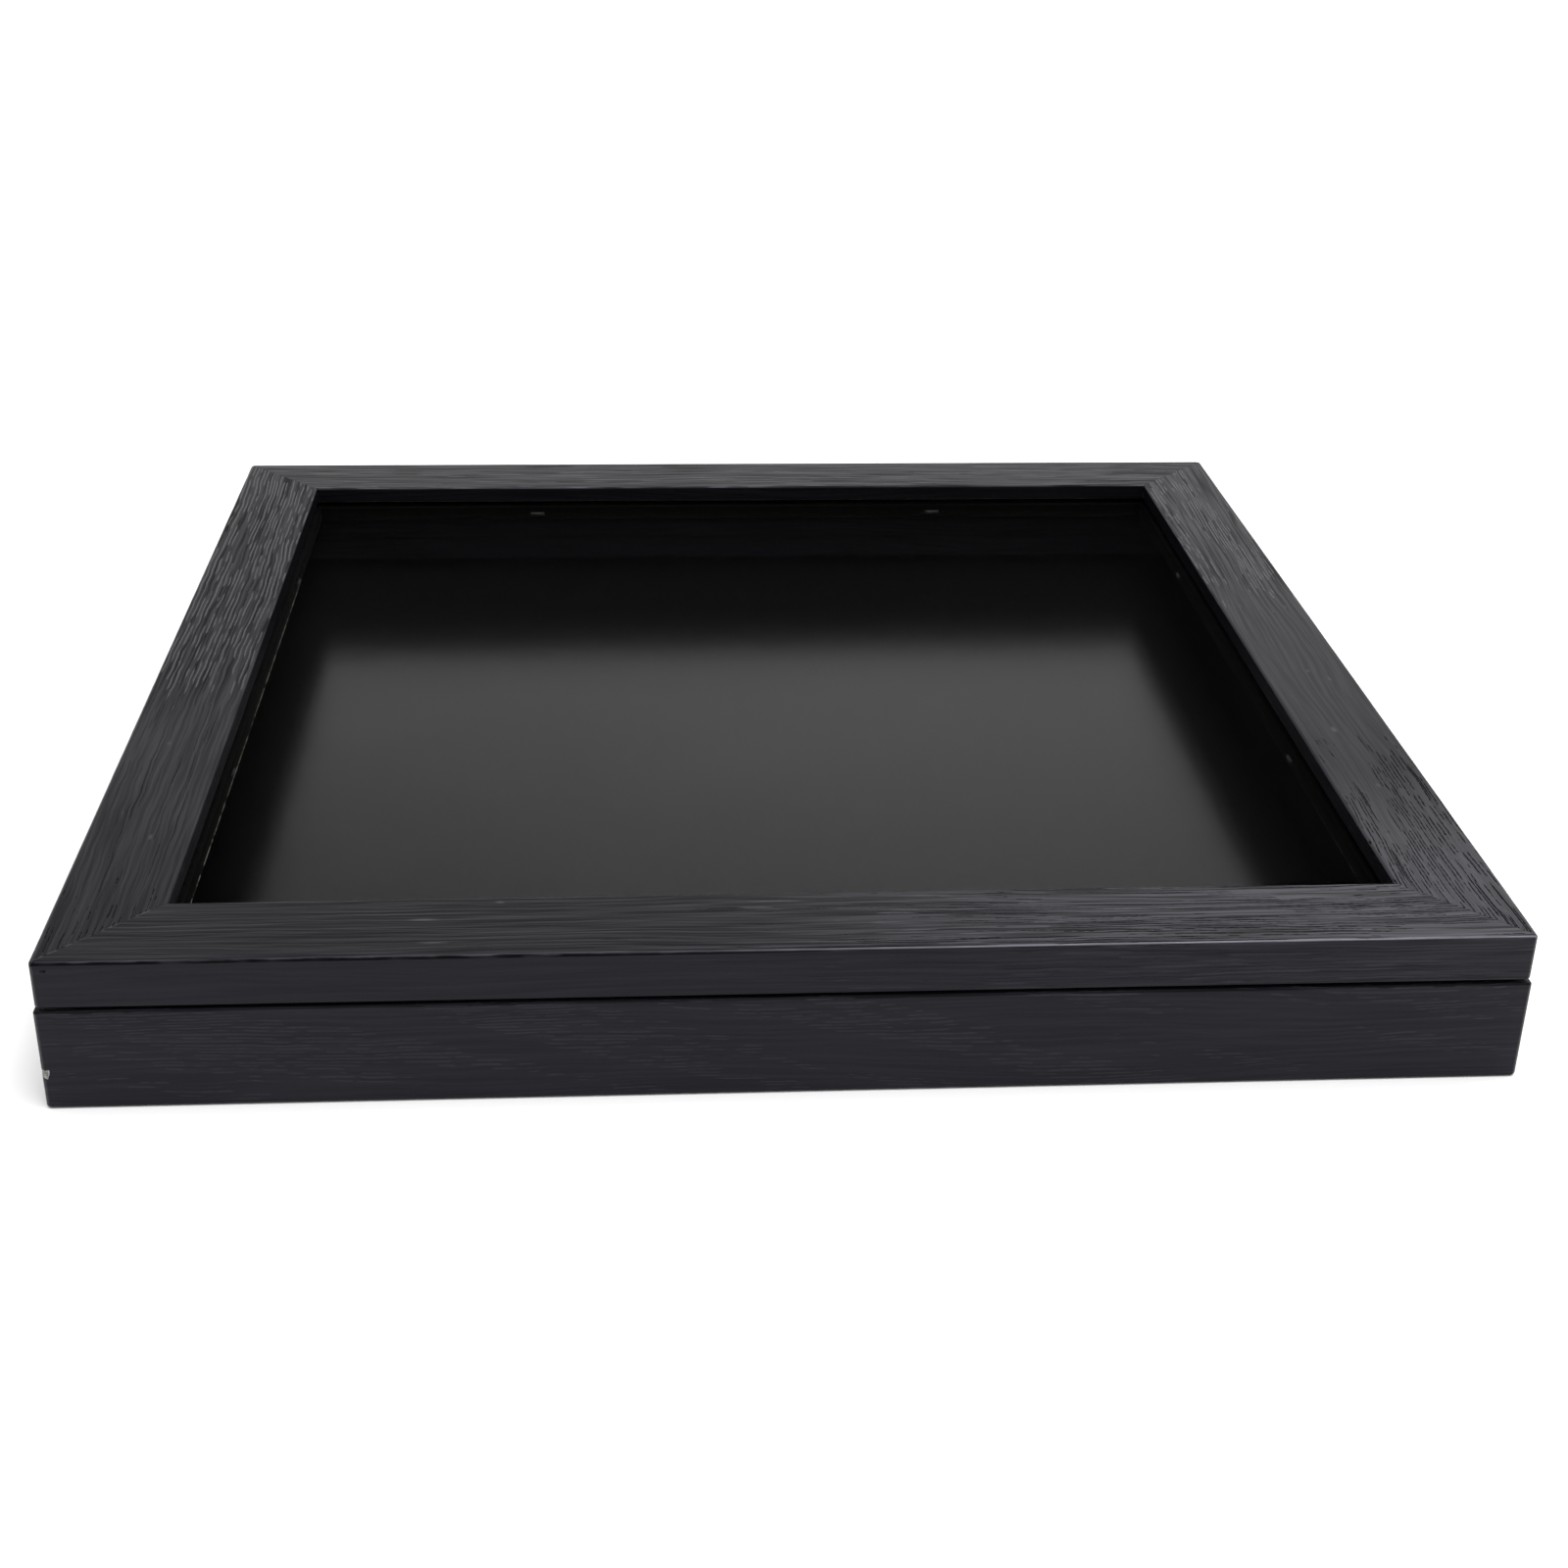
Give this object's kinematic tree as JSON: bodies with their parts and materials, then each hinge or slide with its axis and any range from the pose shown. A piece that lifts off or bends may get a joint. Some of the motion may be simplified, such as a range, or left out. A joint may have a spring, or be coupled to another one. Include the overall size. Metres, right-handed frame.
{
  "type": "shadow box frame",
  "caption": "Shallow square display case with a glazed door in a wide mitred moulding, hinged at one side and held shut by magnets, for a wall or a table.",
  "frame": {"origin": "middle of the rear rim, on the surface that the frame lies on", "axes": "+Z out of the front through the glazing, +Y towards the top edge when it hangs, +X towards the opening side; the hinges are at -X"},
  "size_m": [0.3649, 0.361, 0.0403],
  "materials": {
    "foil_wrapped_mdf": "black oak-grain foil, satin",
    "bead_wood": "black painted, matt",
    "clear_acrylic": "clear polished sheet",
    "display_paper": "black matt paper on board",
    "hardboard": "brown hardboard, smooth side out",
    "galvanised_steel": "galvanised wire and strip",
    "nickel_plate": "nickel plated, satin",
    "magnet_plate": "nickel plated, bright"
  },
  "bodies": {
    "box": {"box_wall_front": "foil_wrapped_mdf", "box_wall_right": "foil_wrapped_mdf", "box_wall_rear": "foil_wrapped_mdf", "box_wall_left": "foil_wrapped_mdf", "box_v_nails": "galvanised_steel", "display_board": "display_paper", "back_panel": "hardboard", "back_points": "galvanised_steel", "hanger_left": "galvanised_steel", "hanger_right": "galvanised_steel", "hanger_rivets": "galvanised_steel", "hinge_box_leaf_front": "nickel_plate", "hinge_box_leaf_rear": "nickel_plate", "hinge_pin_front": "nickel_plate", "hinge_pin_rear": "nickel_plate", "hinge_box_screws": "nickel_plate", "catch_magnet_front": "magnet_plate", "catch_magnet_rear": "magnet_plate"},
    "door": {"door_rail_front": "foil_wrapped_mdf", "door_stile_right": "foil_wrapped_mdf", "door_rail_rear": "foil_wrapped_mdf", "door_stile_left": "foil_wrapped_mdf", "door_v_nails": "galvanised_steel", "glazing_sheet": "clear_acrylic", "glazing_bead_front": "bead_wood", "glazing_bead_right": "bead_wood", "glazing_bead_rear": "bead_wood", "glazing_bead_left": "bead_wood", "bead_staples": "galvanised_steel", "hinge_door_leaf_front": "nickel_plate", "hinge_door_leaf_rear": "nickel_plate", "hinge_door_screws": "nickel_plate", "catch_strike_front": "galvanised_steel", "catch_strike_rear": "galvanised_steel", "catch_screws": "galvanised_steel"}
  },
  "joints": [
    {"name": "door_hinge", "type": "hinge", "parent": "box", "child": "door", "pos_m": [-0.1826, 0, 0.0274], "axis": [0, -1, 0], "range_deg": [0, 180]}
  ]
}
